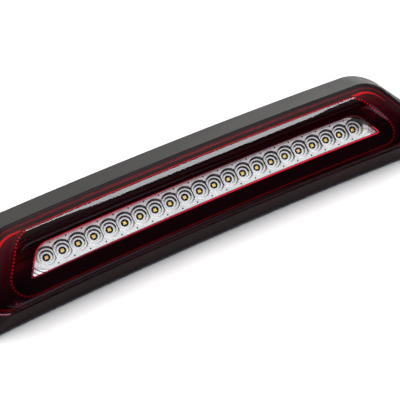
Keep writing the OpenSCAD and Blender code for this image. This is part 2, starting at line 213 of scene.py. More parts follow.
def skin(name, rings, capped=False, sharp=38):
    """A piece made of one closed skin through rings of points."""
    vertices, faces = [], []
    add_tube(vertices, faces, rings, capped)
    return mesh_object(name, vertices, faces, sharp)


def circle(x, y, z, radius, sides):
    """Points round a circle that faces the front, anticlockwise."""
    turns = [2 * math.pi * s / sides for s in range(sides)]
    return [(x + radius * math.cos(a), y, z + radius * math.sin(a)) for a in turns]


def led_places():
    """Where the cargo LEDs are, as x and z."""
    for i in range(LED_COUNT):
        x = (i - (LED_COUNT - 1) / 2) * LED_PITCH
        yield x, ROW_Z - drop(x)


# ---------------------------------------------------------------- material nodes
MATERIALS = {}        # every material made here, by name


def new_material(name):
    """An empty material and its node tree."""
    material = bpy.data.materials.new(name)
    material.use_nodes = True
    material.node_tree.nodes.clear()
    MATERIALS[name] = material
    return material, material.node_tree


def feed(tree, socket, value):
    """Links another node's output to a socket, or sets the socket to a plain value."""
    if isinstance(value, bpy.types.NodeSocket):
        tree.links.new(value, socket)
    else:
        socket.default_value = value


def add(tree, kind, **values):
    """Adds a node and feeds its inputs by name, _ for a space; other names are properties."""
    node = tree.nodes.new(kind)
    for key, value in values.items():
        name = key.replace("_", " ")
        if name in node.inputs:
            feed(tree, node.inputs[name], value)
        else:
            setattr(node, key, value)
    return node


def calculate(tree, operation, *values):
    """The result of one sum on sockets or numbers."""
    node = add(tree, "ShaderNodeMath", operation=operation)
    for socket, value in zip(node.inputs, values):
        feed(tree, socket, value)
    return node.outputs[0]


def mixed(tree, share, first, second):
    """A shader that turns from the first into the second as the share rises."""
    node = add(tree, "ShaderNodeMixShader")
    for socket, value in zip(node.inputs, (share, first.outputs[0], second.outputs[0])):
        feed(tree, socket, value)
    return node


def finished(target, shader, kind="ShaderNodeOutputMaterial"):
    """Gives a material or a world its surface."""
    add(target.node_tree, kind, Surface=shader.outputs[0])
    return target


def own_space(tree):
    """Places in metres in the object's own space, which is the lamp's for its pieces."""
    return add(tree, "ShaderNodeTexCoord").outputs["Object"]


def axes(tree, place):
    """The x, y and z of a place."""
    return add(tree, "ShaderNodeSeparateXYZ", Vector=place).outputs


def noise(tree, scale, detail, rough, stretch=(1, 1, 1)):
    """Noise in the lamp's own space; scale is in waves per metre."""
    place = add(tree, "ShaderNodeMapping", Vector=own_space(tree), Scale=stretch)
    texture = add(tree, "ShaderNodeTexNoise", Scale=scale, Detail=detail, Roughness=rough,
                  Vector=place.outputs["Vector"])
    return texture.outputs["Fac"]


def ramp(tree, source, low, high, start=0.35, end=0.65):
    """A colour that runs from low to high as the source goes from start to end."""
    node = add(tree, "ShaderNodeValToRGB", Fac=source)
    for stop, place, colour in zip(node.color_ramp.elements, (start, end), (low, high)):
        stop.position = place
        stop.color = (*colour, 1)
    return node.outputs["Color"]


def span(tree, source, low, high, start=0, stop=1, shape="LINEAR"):
    """The source moved from start..stop to low..high, and held there beyond them."""
    node = add(tree, "ShaderNodeMapRange", interpolation_type=shape, Value=source,
               From_Min=start, From_Max=stop, To_Min=low, To_Max=high)
    return node.outputs["Result"]


def nearness(tree, reach):
    """1 at an object's middle, falling to 0 at its reach in metres along each axis."""
    place = add(tree, "ShaderNodeMapping", Vector=own_space(tree), Scale=[1 / r for r in reach])
    fade = add(tree, "ShaderNodeTexGradient", gradient_type="SPHERICAL",
               Vector=place.outputs["Vector"])
    return fade.outputs["Fac"]


def bump(tree, source, height):
    """A fine relief, its height in metres."""
    node = add(tree, "ShaderNodeBump", Strength=1.0, Distance=height, Height=source)
    return node.outputs["Normal"]


# ---------------------------------------------------------------- kinds of material
ROUGH_SPREAD = 0.06   # how far a solid surface's roughness wanders
RIPPLE = 0.0000008    # height in metres of the waves in a clear wall


def surface(name, low, high, rough, grain=900, grain_height=0.00003, metallic=0.0, blotch=60,
            stretch=(1, 1, 1)):
    """A finished solid surface: colour that wanders between low and high, a roughness that
    wanders with it, and a fine moulded, cast or rolled grain."""
    material, tree = new_material(name)
    patch = noise(tree, blotch, 4, 0.6, stretch)
    shader = add(tree, "ShaderNodeBsdfPrincipled", Metallic=metallic,
                 Base_Color=ramp(tree, patch, low, high),
                 Roughness=span(tree, patch, rough - ROUGH_SPREAD, rough + ROUGH_SPREAD),
                 Normal=bump(tree, noise(tree, grain, 2, 0.5, stretch), grain_height))
    return finished(material, shader)


def see_through(name, tint, mirror=0.04, rough=0.03, shine=(1, 1, 1)):
    """A clear or tinted gloss wall: it passes light by its tint and mirrors more at a slant."""
    material, tree = new_material(name)
    smear = noise(tree, 45, 4, 0.55)
    ripple = bump(tree, noise(tree, 55, 1, 0.4, (0.35, 1, 1)), RIPPLE)
    clear = add(tree, "ShaderNodeBsdfTransparent", Color=(*tint, 1))
    gloss = add(tree, "ShaderNodeBsdfAnisotropic", distribution="GGX", Color=(*shine, 1),
                Roughness=span(tree, smear, rough * 0.6, rough * 1.5), Normal=ripple)
    facing = add(tree, "ShaderNodeLayerWeight", Blend=0.5).outputs["Facing"]
    slant = calculate(tree, "POWER", facing, 5)
    return finished(material, mixed(tree, span(tree, slant, mirror, 1), clear, gloss))


def ends_with_painted_light(name, centre, end, foot, starts, heights, metallic, rough, painted_streaks=0.0):
    """A part that turns from one colour in its middle to painted reflections towards both ends of the
    lamp: painted light there fades into painted shade towards its foot and is broken by long painted
    bands."""
    material, tree = new_material(name)
    x, _, z = axes(tree, own_space(tree))
    away = calculate(tree, "ABSOLUTE", x)
    outwards = span(tree, away, 0, 1, starts[0] * MM, starts[1] * MM, "SMOOTHSTEP")
    upwards = span(tree, z, 0, 1, heights[0] * MM, heights[1] * MM, "SMOOTHSTEP")
    # Long bands that break up the painted light at the ends, a painted reflection
    painted_streak = span(tree, noise(tree, 330, 3, 0.6, (0.03, 0.03, 1)), 1 - painted_streaks, 1, 0.4, 0.62)
    lit = calculate(tree, "MULTIPLY", upwards, painted_streak)
    colour = add(tree, "ShaderNodeMix", data_type="RGBA", Factor=outwards, A=(*centre, 1),
                 B=ramp(tree, lit, foot, end, 0, 1))
    shader = add(tree, "ShaderNodeBsdfPrincipled", Roughness=rough,
                 Base_Color=colour.outputs["Result"],
                 Metallic=span(tree, outwards, metallic, 0) if metallic else 0,
                 Normal=bump(tree, noise(tree, 600, 2, 0.5), 0.000006))
    return finished(material, shader)


def red_plastic_with_painted_glow(name, low, high, glow, along=None):
    """Glossy red plastic with a painted glow, an emission that stands in for reflected light. The
    glow rises from nothing with height over the light guide, or between two places along the lamp
    where those are given."""
    material, tree = new_material(name)
    x, _, z = axes(tree, own_space(tree))
    source, start, stop = (x, *along) if along else (z, GUIDE[2], GUIDE[1])
    strength = span(tree, source, 0, glow, start * MM, stop * MM) if glow else 0
    shader = add(tree, "ShaderNodeBsdfPrincipled", Roughness=0.2,
                 Base_Color=ramp(tree, noise(tree, 250, 2, 0.5), low, high),
                 Emission_Color=(1.0, 0.02, 0.045, 1), Emission_Strength=strength)
    return finished(material, shader)


# ---------------------------------------------------------------- the lamp's materials
LENS_TINT = (0.70, 0.22, 0.32)     # what one face of the smoked lens passes

surface("housing_black", (0.007, 0.005, 0.005), (0.011, 0.008, 0.008), 0.16, grain=1600,
        grain_height=0.000004, blotch=40)
surface("cover_black", (0.03, 0.03, 0.031), (0.045, 0.045, 0.047), 0.42, grain=1400)
surface("seal_rubber", (0.012, 0.012, 0.012), (0.02, 0.02, 0.02), 0.7)
surface("screw_zinc", (0.55, 0.56, 0.58), (0.7, 0.7, 0.71), 0.3, metallic=1.0, blotch=300)
see_through("lens_smoked_red", LENS_TINT)
see_through("lens_clear", (0.985, 0.985, 0.985))
surface("bond_adhesive", (0.02, 0.02, 0.022), (0.035, 0.035, 0.04), 0.6, grain=300,
        grain_height=0.0002)
# The bezel's rim and floor carry painted reflections at their ends, lighter and coloured, with
# painted shade towards the foot
ends_with_painted_light("bezel_dark", (0.45, 0.43, 0.43), (0.15, 0.08, 0.2), (0.012, 0.011, 0.016),
            (118, 150), (-30, 14), metallic=1.0, rough=0.3)
ends_with_painted_light("bezel_black", (0.016, 0.008, 0.009), (0.42, 0.12, 0.3), (0.004, 0.003, 0.003),
            (132, 154), (-20, 6), metallic=0.0, rough=0.16, painted_streaks=0.9)
see_through("lens_inside", LENS_TINT, mirror=0.09, rough=0.07, shine=(0.4, 0.1, 0.12))
see_through("lens_core", LENS_TINT, mirror=0.002, rough=0.1, shine=(0.3, 0.02, 0.04))
surface("reflector_chrome", (0.84, 0.86, 0.88), (0.94, 0.95, 0.96), 0.17, metallic=0.8,
        grain_height=0.000003)
# Painted shade: the cups' steps that face away from the light direction take this dark finish, and
# the pips are made in it too
surface("reflector_dark_and_painted_shade", (0.05, 0.05, 0.06), (0.1, 0.1, 0.11), 0.3, metallic=0.8,
        grain_height=0.000003)
surface("board_black", (0.008, 0.008, 0.008), (0.016, 0.016, 0.016), 0.4)
surface("led_package", (0.03, 0.03, 0.03), (0.05, 0.05, 0.05), 0.5, blotch=900)
surface("led_phosphor", (0.7, 0.48, 0.08), (0.9, 0.72, 0.24), 0.3, grain=3000,
        grain_height=0.00002, blotch=1500)
surface("chip_black", (0.02, 0.02, 0.022), (0.04, 0.04, 0.045), 0.45)
surface("spreader_aluminium", (0.6, 0.61, 0.62), (0.75, 0.75, 0.76), 0.35, metallic=1.0,
        stretch=(0.1, 1, 1))
surface("standoff_black", (0.03, 0.03, 0.032), (0.05, 0.05, 0.05), 0.5)
surface("board_green", (0.015, 0.1, 0.04), (0.03, 0.16, 0.07), 0.35)
surface("brake_led_red", (0.5, 0.02, 0.02), (0.7, 0.06, 0.05), 0.3)
surface("ferrite_grey", (0.06, 0.06, 0.065), (0.11, 0.11, 0.12), 0.6)
surface("wire_pvc", (0.4, 0.02, 0.02), (0.5, 0.04, 0.03), 0.4)
surface("clip_nylon", (0.7, 0.7, 0.66), (0.8, 0.8, 0.76), 0.4)
surface("socket_black", (0.025, 0.025, 0.028), (0.045, 0.045, 0.048), 0.4, grain=1200,
        grain_height=0.00002)
surface("pin_tinned", (0.6, 0.55, 0.4), (0.78, 0.74, 0.6), 0.25, metallic=1.0)
surface("seal_orange", (0.5, 0.13, 0.02), (0.7, 0.2, 0.05), 0.6)
surface("vent_black", (0.03, 0.03, 0.032), (0.05, 0.05, 0.055), 0.45)
surface("membrane_white", (0.7, 0.7, 0.7), (0.85, 0.85, 0.85), 0.9, grain=2500,
        grain_height=0.0001)
surface("gasket_foam", (0.025, 0.025, 0.025), (0.06, 0.06, 0.06), 0.9, grain=1500,
        grain_height=0.0003, blotch=700)
surface("stud_zinc", (0.5, 0.43, 0.2), (0.75, 0.66, 0.42), 0.3, metallic=1.0, blotch=150)
# Glossy red parts; their glow is painted light that stands in for reflected light, rising with height
# or along the lamp
red_plastic_with_painted_glow("guide_red", (0.04, 0.003, 0.006), (0.07, 0.005, 0.01), 0)
red_plastic_with_painted_glow("guide_painted_glow", (0.3, 0.01, 0.02), (0.4, 0.02, 0.03), 0.95)
red_plastic_with_painted_glow("joint_low", (0.06, 0.002, 0.004), (0.09, 0.003, 0.006), 0.75, along=(-95, 30))
red_plastic_with_painted_glow("joint_high", (0.05, 0.003, 0.006), (0.08, 0.004, 0.008), 0.35, along=(20, -90))
red_plastic_with_painted_glow("lens_edge", (0.2, 0.06, 0.06), (0.32, 0.1, 0.1), 0.05)
red_plastic_with_painted_glow("bezel_painted_glint", (0.5, 0.03, 0.06), (0.7, 0.05, 0.1), 1.1)


def finish_piece(piece, slot, *nodes):
    """Rides on the lamp's body, takes a slot's material and stands for CAD nodes."""
    piece.data.materials.clear()
    piece.data.materials.append(MATERIALS[slot])
    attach(piece, "root")
    if nodes:
        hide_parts(*nodes)
    return piece


# ---------------------------------------------------------------- the lamp's shells
HOUSING_STEPS = 16
HOUSING_BULGE = 0.12  # how far the housing's slope bows forwards, as a share of its depth


def housing():
    """The black rim that slopes from the lens out to the flange, hollow behind."""
    top, foot = CREASE_Y - 0.5, FLANGE_FRONT - 0.6
    rings = [ring(inset(CREASE, 1.3), CREASE_Y), ring(inset(CREASE, 0.4), CREASE_Y - 0.42)]
    for k in range(HOUSING_STEPS + 1):
        t = k / HOUSING_STEPS
        y = top + (foot - top) * (t + HOUSING_BULGE * t * (1 - t))
        rings.append(ring(between(CREASE, inset(FLANGE, 0.5), t), y, 1 - t))
    rings += [ring(inset(FLANGE, 0.1), FLANGE_FRONT - 0.2, 0), ring(FLANGE, FLANGE_FRONT + 0.3, 0),
              ring(FLANGE, -GASKET_T - 0.4, 0), ring(inset(FLANGE, 0.4), -GASKET_T, 0),
              ring(PORT, -GASKET_T, 0), ring(PORT, FLANGE_FRONT, 0),
              ring(inset(FLANGE, 5), FLANGE_FRONT, 0), ring(inset(CREASE, 1.3), CREASE_Y + 5)]
    return finish_piece(skin("housing_shell", rings), "housing_black", "housing")


LENS_STEPS = 8        # rows between two levels of the lens's front
FLUTED = range(4, 4 + 4 * LENS_STEPS)   # the lens's levels whose inside is fluted
FLUTE_ROWS = 6        # levels that make one long flute
FLUTE_DEEP = 0.22


def lens_levels():
    """The smoked lens from its skirt to the window's hole: outline, depth, share of the
    front's lean, and the way that its thickness points, from back (0) to inwards (90)."""
    skirt = [(inset(CREASE, 1.6), CREASE_Y + 3.5, 1, 90),
             (inset(CREASE, 1.6), CREASE_Y - 0.5, 1, 90),
             (inset(CREASE, 0.7), CREASE_Y - 0.9, 1, 80)]
    front = [
        (inset(CREASE, 1.2), CREASE_Y - 1.5, 1, 60),
        (between(CREASE, SHOULDER, 0.54), CREASE_Y - 3.5, 1, 41),
        (SHOULDER, CREST_Y + 4.5, 1, 39),
        (between(SHOULDER, BROW, 0.57), CREST_Y + 3.1, 1.2, 34),
        (BROW, CREST_Y + 2.3, 1.36, 27),
        (between(BROW, CREST, 0.42), CREST_Y + 1.8, 1.51, 21),
        (between(BROW, CREST, 0.83), CREST_Y + 1.45, 1.68, 14),
        (CREST, CREST_Y + 1.4, 1.71, 12),
        (between(CREST, FOOT, 0.19), CREST_Y + 1.6, 1.68, -5),
        (between(CREST, FOOT, 0.57), WINDOW_Y - 0.85, 1.33, -40),
        (FOOT, WINDOW_Y - 0.12, 1.05, -20),
        (between(FOOT, WINDOW, 0.37), WINDOW_Y - 0.02, 1, 0)]
    return skirt + curve_levels(front, LENS_STEPS) + [(WINDOW, WINDOW_Y, 1, -35)]


def outer_lens():
    """The smoked lens: glossy outside, fluted inside its slopes, dull on its other inner faces."""
    outer = lens_levels()
    inner = []
    for index, (o, y, share, tilt) in enumerate(outer):
        lean = math.radians(tilt)
        back = 0 if index == 0 else LENS_T * math.cos(lean)
        flute = FLUTE_DEEP * (1 - (index % FLUTE_ROWS) / FLUTE_ROWS) if index in FLUTED else 0
        inner.append((inset(o, LENS_T * math.sin(lean)), y + back + flute, share))
    rings = [ring(*level[:3]) for level in outer] + [ring(*level) for level in reversed(inner)]
    piece = finish_piece(skin("lens_shell", rings, sharp=30), "lens_smoked_red", "outer_lens")
    piece.data.materials.append(MATERIALS["lens_inside"])
    piece.data.materials.append(MATERIALS["lens_core"])
    for face in piece.data.polygons:
        row = face.index // len(rings[0])
        if row >= len(outer) - 1:
            level = len(rings) - 1 - row
            face.material_index = 1 if level in FLUTED else 2
    return piece


def lens_lip():
    """The lens's thick red edge, seen through its shoulder as a maroon band, with a faint painted
    glow that rises with height.
    """
    y = CREASE_Y - 0.4
    rings = [ring(inset(CREASE, 2.6), y), ring(inset(CREASE, 4.4), y - 0.25),
             ring(inset(CREASE, 4.6), y + 0.6), ring(inset(CREASE, 2.6), y + 0.6)]
    return finish_piece(skin("lens_lip", rings), "lens_edge", "outer_lens")


GLINT_X = (126, 160)  # where the corner glints start and end along the lamp
GLINT_Y = CREASE_Y - 2.6
GLINT_BOW = 0.3       # how far a glint's middle stands forwards of its edges
GLINT_THIN = 0.02     # a glint's width at its tips, as a share of its widest


def painted_corner_glints():
    """Painted red highlights: strips with a painted glow on the bezel's rim round both top corners.
    """
    points, inner = outline(inset(RIM, 1.9)), outline(inset(RIM, 3.9))
    for side, name, peak in ((-1, "glint_left", 0.9), (1, "glint_right", 0.45)):
        picked = [i for i in range(len(points)) if GLINT_X[0] < points[i, 0] * side < GLINT_X[1]
                  and points[i, 1] > ROW_Z]
        vertices, faces = [], []
        for i in picked:
            place = (points[i, 0] * side - GLINT_X[0]) / (GLINT_X[1] - GLINT_X[0])
            reach = peak if place < peak else 1 - peak
            fullness = max(1 - abs(place - peak) / reach, GLINT_THIN) ** 0.8
            middle = (points[i] + inner[i]) / 2
            for share, lift in ((-1, 0), (0, -GLINT_BOW), (1, 0)):
                x, z = middle + (points[i] - inner[i]) / 2 * share * fullness
                vertices.append((x, GLINT_Y + lift - FACE_LEAN * (z - ROW_Z), z))
        for k in range(len(picked) - 1):
            a, b = 3 * k, 3 * k + 3
            faces += [(a, a + 1, b + 1, b), (a + 1, a + 2, b + 2, b + 1)]
        finish_piece(mesh_object(name, vertices, faces), "bezel_painted_glint", "inner_bezel")


def clear_window():
    """The clear pane over the cargo light, with a rounded edge."""
    rings = [ring(inset(WINDOW, 1.3), WINDOW_Y - 0.34), ring(inset(WINDOW, 0.9), WINDOW_Y - 0.3),
             ring(inset(WINDOW, 0.15), WINDOW_Y + 0.15),
             ring(inset(WINDOW, 0.15), WINDOW_Y + WINDOW_T)]
    return finish_piece(skin("window_pane", rings, capped=True), "lens_clear", "clear_window")


JOINT_LOW = 3         # height of the joint's bottom part, whose painted glow follows the bottom edge's


def window_joint():
    """The joint between the clear window and the red lens, a thin edge with a painted glow: its
    bottom brightens towards the right, the rest towards the left.
    """
    outer, inner = lowered(inset(WINDOW, -0.7), 0.6), lowered(WINDOW, 0.6)
    rings = [ring(outer, WINDOW_Y + 0.1), ring(outer, WINDOW_Y - 0.07),
             ring(between(outer, inner, 0.5), WINDOW_Y - 0.16), ring(inner, WINDOW_Y - 0.07),
             ring(inner, WINDOW_Y + 0.1)]
    piece = finish_piece(skin("window_joint", rings), "joint_low")
    piece.data.materials.append(MATERIALS["joint_high"])
    for face in piece.data.polygons:
        face.material_index = int(face.center.z > (WINDOW[2] + JOINT_LOW) * MM)
    return piece


# ---------------------------------------------------------------- inner bezel
BEZEL_T = 1.2         # thickness of the bezel's walls
RIM_ROWS = 12         # rows between two levels of the rim's slope
RIM_STEPS = 5         # long steps down the rim's slope
RIM_STEP_DEEP = 0.35
WALL_ROWS = 8
FLOOR_ROWS = 12
FLOOR_Y = WINDOW_Y + 2.7
PLEAT = 1.9           # width of one pleat at the ends of the pocket
PLEAT_DEEP = 0.45
PLEAT_FROM, PLEAT_FULL = -3, 1   # the pleats rise between these distances beyond the window


def zigzag(v):
    """A triangle wave of period 1 between 0 and 1."""
    return np.abs((v % 1.0) * 2 - 1)


def bezel_rim():
    """The reflective shoulder outside the light guide, with long steps down its slope and painted
    reflections towards both ends.
    """
    front = curve_levels([(RIM, CREASE_Y + 0.6), (SLOPE, CREASE_Y - 1.4),
                          (inset(GUIDE, -1.75), GUIDE_Y + 1.5)], RIM_ROWS)
    last = len(front) - 1
    rings = []
    for k, (o, y) in enumerate(front):
        points = ring(o, y)
        if 0 < k < last:
            points[:, 1] += RIM_STEP_DEEP * (1 - (k * RIM_STEPS / last) % 1.0)
        rings.append(points)
    rings += [ring(inset(GUIDE, -1.05), GUIDE_Y + 1.5), ring(inset(GUIDE, -1.05), GROOVE_Y),
              ring(inset(GUIDE, 0.02), GROOVE_Y), ring(inset(GUIDE, 0.02), GROOVE_Y + BEZEL_T),
              ring(inset(SLOPE, BEZEL_T), GROOVE_Y + BEZEL_T + 0.1),
              ring(inset(RIM, BEZEL_T), CREASE_Y + 0.6 + BEZEL_T)]
    return finish_piece(skin("bezel_rim", rings, sharp=25), "bezel_dark", "inner_bezel")


def bezel_floor():
    """The black floor of the pocket under the lens, pleated at both ends, where it carries painted
    reflections.
    """
    lip, lip_y = inset(GUIDE, 1.7), GUIDE_Y + 1.8
    opening = inset(WINDOW, -1.1)
    rings = [ring(inset(GUIDE, -0.02), GROOVE_Y), ring(inset(GUIDE, 1.05), GROOVE_Y),
             ring(inset(GUIDE, 1.05), lip_y)]
    wall = [(between(lip, FOOT, k / WALL_ROWS), lip_y + (FLOOR_Y - lip_y) * k / WALL_ROWS)
            for k in range(WALL_ROWS + 1)]
    floor = [(between(FOOT, opening, k / FLOOR_ROWS), FLOOR_Y) for k in range(1, FLOOR_ROWS + 1)]
    for o, y in wall + floor:
        points = ring(o, y)
        height = points[:, 2] + drop(points[:, 0])
        beyond = np.abs(points[:, 0]) - side_x(WINDOW, height)
        share = np.clip((beyond - PLEAT_FROM) / (PLEAT_FULL - PLEAT_FROM), 0, 1)
        points[:, 1] += PLEAT_DEEP * share * zigzag(height / PLEAT)
        rings.append(points)
    rings += [ring(opening, FLOOR_Y + BEZEL_T), ring(FOOT, FLOOR_Y + BEZEL_T),
              ring(lip, GROOVE_Y + BEZEL_T), ring(inset(GUIDE, -0.02), GROOVE_Y + BEZEL_T)]
    return finish_piece(skin("bezel_floor", rings, sharp=20), "bezel_black", "inner_bezel")


# ---------------------------------------------------------------- light guide
TOOTH = 2.5           # pitch of the prism teeth
BEAD = ((0.45, 0.08), (0.72, 0.4), (0.74, 0.9))   # radius and depth of a tooth's rings
BEAD_SIDES = 8
LEVEL_RUN = 0.08      # where the guide rises less than this, its teeth run into dashes
DASH = (2.1, 0.6)     # how much longer and narrower a dash is than a round tooth


def along(points, pitch):
    """Points and directions at an even pitch round a closed loop."""
    closed = np.concatenate([points, points[:1]])
    steps = np.linalg.norm(np.diff(closed, axis=0), axis=1)
    at = np.concatenate([[0], np.cumsum(steps)])
    count = int(round(at[-1] / pitch))
    where = np.linspace(0, at[-1], count, endpoint=False)
    place = np.stack([np.interp(where, at, closed[:, k]) for k in (0, 1)], 1)
    ahead = np.stack([np.interp((where + 0.2) % at[-1], at, closed[:, k]) for k in (0, 1)], 1)
    return place, (ahead - place) / np.linalg.norm(ahead - place, axis=1)[:, None]


def guide_loop():
    """The light guide itself, a bar with bevelled front edges bent round the pocket."""
    inside, outside = GUIDE_HALF, -GUIDE_HALF
    back, edge, front = GUIDE_Y + GUIDE_DEEP, GUIDE_Y + 0.9, GUIDE_Y + 0.7
    bar = ((inside, back), (inside, edge), (inside - 0.3, front),
           (outside + 0.3, front), (outside, edge), (outside, back))
    rings = [ring(inset(GUIDE, d), y) for d, y in bar]
    return finish_piece(skin("guide_loop", rings), "guide_red", "light_guide")


def guide_prisms():
    """The teeth on the light guide's front, with a painted glow that is brightest at the top."""
    vertices, faces = [], []
    for (x, z), (dx, dz) in zip(*along(outline(GUIDE), TOOTH)):
        front = GUIDE_Y - FACE_LEAN * (z - ROW_Z)
        longer, wider = DASH if abs(dz) < LEVEL_RUN else (1, 1)
        rings = []
        for radius, y in BEAD:
            points = circle(0, front + y, 0, radius, BEAD_SIDES)
            rings.append([(x + u * longer * dx - v * wider * dz, depth,
                           z + u * longer * dz + v * wider * dx) for u, depth, v in points])
        add_tube(vertices, faces, rings, tip=(x, front, z))
    return finish_piece(mesh_object("guide_prisms", vertices, faces), "guide_painted_glow", "light_guide")


# ---------------------------------------------------------------- cargo light
PLATE_TOP = 4.6       # height of the plate above the LEDs' tops
CUP_PROFILE = (       # radius from the LED, height above the LED's top
    (2.8, -1.0), (2.82, 0.4), (4.05, 0.5), (4.95, 1.9), (5.05, 2.4), (6.05, 2.5),
    (7.1, 4.0), (7.3, PLATE_TOP), (7.6, PLATE_TOP))
CUP_SPOKES = 96
PLAIN_RADII = [8.6, 9.8]   # rings of points round a cup where the plate is flat
RIDGE = 0.35          # width of the wall between two neighbouring cups
PAINTED_SHADE_FROM = Vector((0.55, 0, 0.83))   # steps whose faces look away from this light direction take painted shade
PAINTED_SHADE_SLOPE = 0.35
LIP_FROM = 6.4        # height above the row where the plate starts to come forwards
LIP_SLOPE = 0.17
END_RINGS = (8.6, 2.6)     # radius of the first step beyond the row's ends, and their pitch
END_COUNT = 4
END_STEP = 0.8        # height of those steps
END_FADE = 3          # distance over which they rise out of the plate
STEP_EDGE = 0.06      # how steep a step's edge is, as a distance along the plate
PIP_HEIGHT = 7.9      # the pips' distance above and below the row
PIP_PROFILE = ((0.42, 0.3), (0.62, 0.12), (0.62, -0.1))   # radius, height above the plate
PIP_SIDES = 12
PACKAGE_WIDTH = 2.9
GEL_WIDTH = 2.35


def lip_rise(flat_z):
    """How far the plate comes forwards at a height, measured as if the lamp had no crown."""
    return LIP_SLOPE * max(flat_z - ROW_Z - LIP_FROM, 0)


def clip(points, axis, limit, sign):
    """The part of a closed outline where its coordinate is below the limit, times the sign."""
    kept = []
    for a, b in zip(points, points[1:] + points[:1]):
        da, db = (limit - a[axis]) * sign, (limit - b[axis]) * sign
        if da >= 0:
            kept.append(a)
        if da * db < 0:
            kept.append(between(a, b, da / (da - db)))
    return kept


def reach_of(cell, centre, angle):
    """How far a cell's edge is from its centre in one direction."""
    dx, dz = math.cos(angle), math.sin(angle)
    for a, b in zip(cell, cell[1:] + cell[:1]):
        ax, az, bx, bz = a[0] - centre[0], a[1] - centre[1], b[0] - centre[0], b[1] - centre[1]
        sa, sb = dx * az - dz * ax, dx * bz - dz * bx
        if sa <= 0 < sb:
            t = sa / (sa - sb)
            return (ax + (bx - ax) * t) * dx + (az + (bz - az) * t) * dz


def plate_height(x, z, radius, edge, beyond):
    """Height of the plate at one place: a cup's profile, the ridge round its cell, the steps
    beyond the row's ends, and the lip along the plate's top."""
    radii, heights = zip(*CUP_PROFILE)
    height = float(np.interp(radius, radii, heights))
    ridge = min(max((radius - edge + RIDGE) / RIDGE, 0), 1)
    height += (PLATE_TOP - height) * ridge
    first, pitch = END_RINGS
    if radius > first and beyond > 0:
        part = ((radius - first) / pitch + 1e-6) % 1.0
        height += END_STEP * part * min(beyond / END_FADE, 1)
    return height + lip_rise(z + drop(x))


def cup_cell(vertices, faces, cell, centre, last):
    """One LED's share of the plate, as spokes of points round its cup; the first and last
    cells run on to the plate's ends."""
    turns = {2 * math.pi * k / CUP_SPOKES for k in range(CUP_SPOKES)}
    turns |= {math.atan2(z - centre[1], x - centre[0]) % (2 * math.pi) for x, z in cell}
    angles = sorted({round(turn, 6) for turn in turns})
    first, pitch = END_RINGS
    steps = sorted(first + pitch * k + on for k in range(END_COUNT) for on in (0, pitch - STEP_EDGE))
    radii = [r for r, _ in CUP_PROFILE] + (steps if last else PLAIN_RADII)
    start = len(vertices)
    for angle in angles:
        edge = reach_of(cell, centre, angle)
        side = math.cos(angle) * (1 if centre[0] > 0 else -1) * last
        for radius in [min(r, edge - RIDGE) for r in radii] + [edge - RIDGE, edge]:
            x = centre[0] + radius * math.cos(angle)
            z = centre[1] + radius * math.sin(angle)
            vertices.append((x, LED_Y - plate_height(x, z, radius, edge, radius * side), z))
    rows = len(radii) + 2
    for k in range(len(angles)):
        a, b = start + k * rows, start + (k + 1) % len(angles) * rows
        faces += [(a + r, a + r + 1, b + r + 1, b + r) for r in range(rows - 1)]


def reflector():
    """Plated plate with a stepped cup round every LED, cut off by its neighbours."""
    vertices, faces = [], []
    edge = [tuple(point) for point in outline(PLATED)]
    for i, (x, z) in enumerate(led_places()):
        cell = edge
        if i < LED_COUNT - 1:
            cell = clip(cell, 0, x + LED_PITCH / 2, 1)
        if i > 0:
            cell = clip(cell, 0, x - LED_PITCH / 2, -1)
        cup_cell(vertices, faces, cell, (x, z), i in (0, LED_COUNT - 1))
    start, n = len(vertices), len(edge)
    vertices += [(x, LED_Y - PLATE_TOP + 0.05 - lip_rise(z + drop(x)), z) for x, z in edge]
    vertices += [(x, BOARD_Y, z) for x, z in edge]
    faces += [(start + k, start + n + k, start + n + (k + 1) % n, start + (k + 1) % n)
              for k in range(n)]
    piece = finish_piece(mesh_object("reflector_cups", vertices, faces, 30, welded=True),
                         "reflector_chrome", "chrome_reflector")
    piece.data.materials.append(MATERIALS["reflector_dark_and_painted_shade"])
    # Painted shade: faces that look away from the light direction take the dark finish, for the cups'
    # dark arcs
    for face in piece.data.polygons:
        face.material_index = int(-face.normal.dot(PAINTED_SHADE_FROM) > PAINTED_SHADE_SLOPE)
    return piece


def reflector_pips():
    """Small round pips between the cups, along the top and the bottom of the plate, in the dark
    finish that the cups' steps use as painted shade.
    """
    vertices, faces = [], []
    for i in range(LED_COUNT - 1):
        x = (i - LED_COUNT / 2 + 1) * LED_PITCH
        for flat_z in (ROW_Z - PIP_HEIGHT, ROW_Z + PIP_HEIGHT):
            plate_y = LED_Y - PLATE_TOP - lip_rise(flat_z)
            rings = [circle(x, plate_y - height, flat_z - drop(x), radius, PIP_SIDES)
                     for radius, height in PIP_PROFILE]
            add_tube(vertices, faces, rings)
    return finish_piece(mesh_object("reflector_pips", vertices, faces), "reflector_dark_and_painted_shade",
                        "chrome_reflector")


def add_block(vertices, faces, x, z, width, front, back, bevel):
    """Adds a square block whose front edges are bevelled."""
    half = width / 2
    rings = []
    for size, y in ((half - bevel, front), (half, front + bevel), (half, back)):
        rings.append([(x + sx * size, y, z + sz * size)
                      for sx, sz in ((-1, -1), (1, -1), (1, 1), (-1, 1))])
    add_tube(vertices, faces, rings)


def cargo_leds():
    """The LEDs' packages, and the square of yellow gel on each."""
    packages, gels = ([], []), ([], [])
    for x, z in led_places():
        add_block(*packages, x, z, PACKAGE_WIDTH, LED_Y - 0.05, LED_Y + 0.99, 0.2)
        add_block(*gels, x, z, GEL_WIDTH, LED_Y - 0.12, LED_Y + 0.04, 0.05)
    finish_piece(mesh_object("led_packages", *packages), "led_package", "cargo_leds")
    finish_piece(mesh_object("led_gel", *gels), "led_phosphor", "led_phosphors")


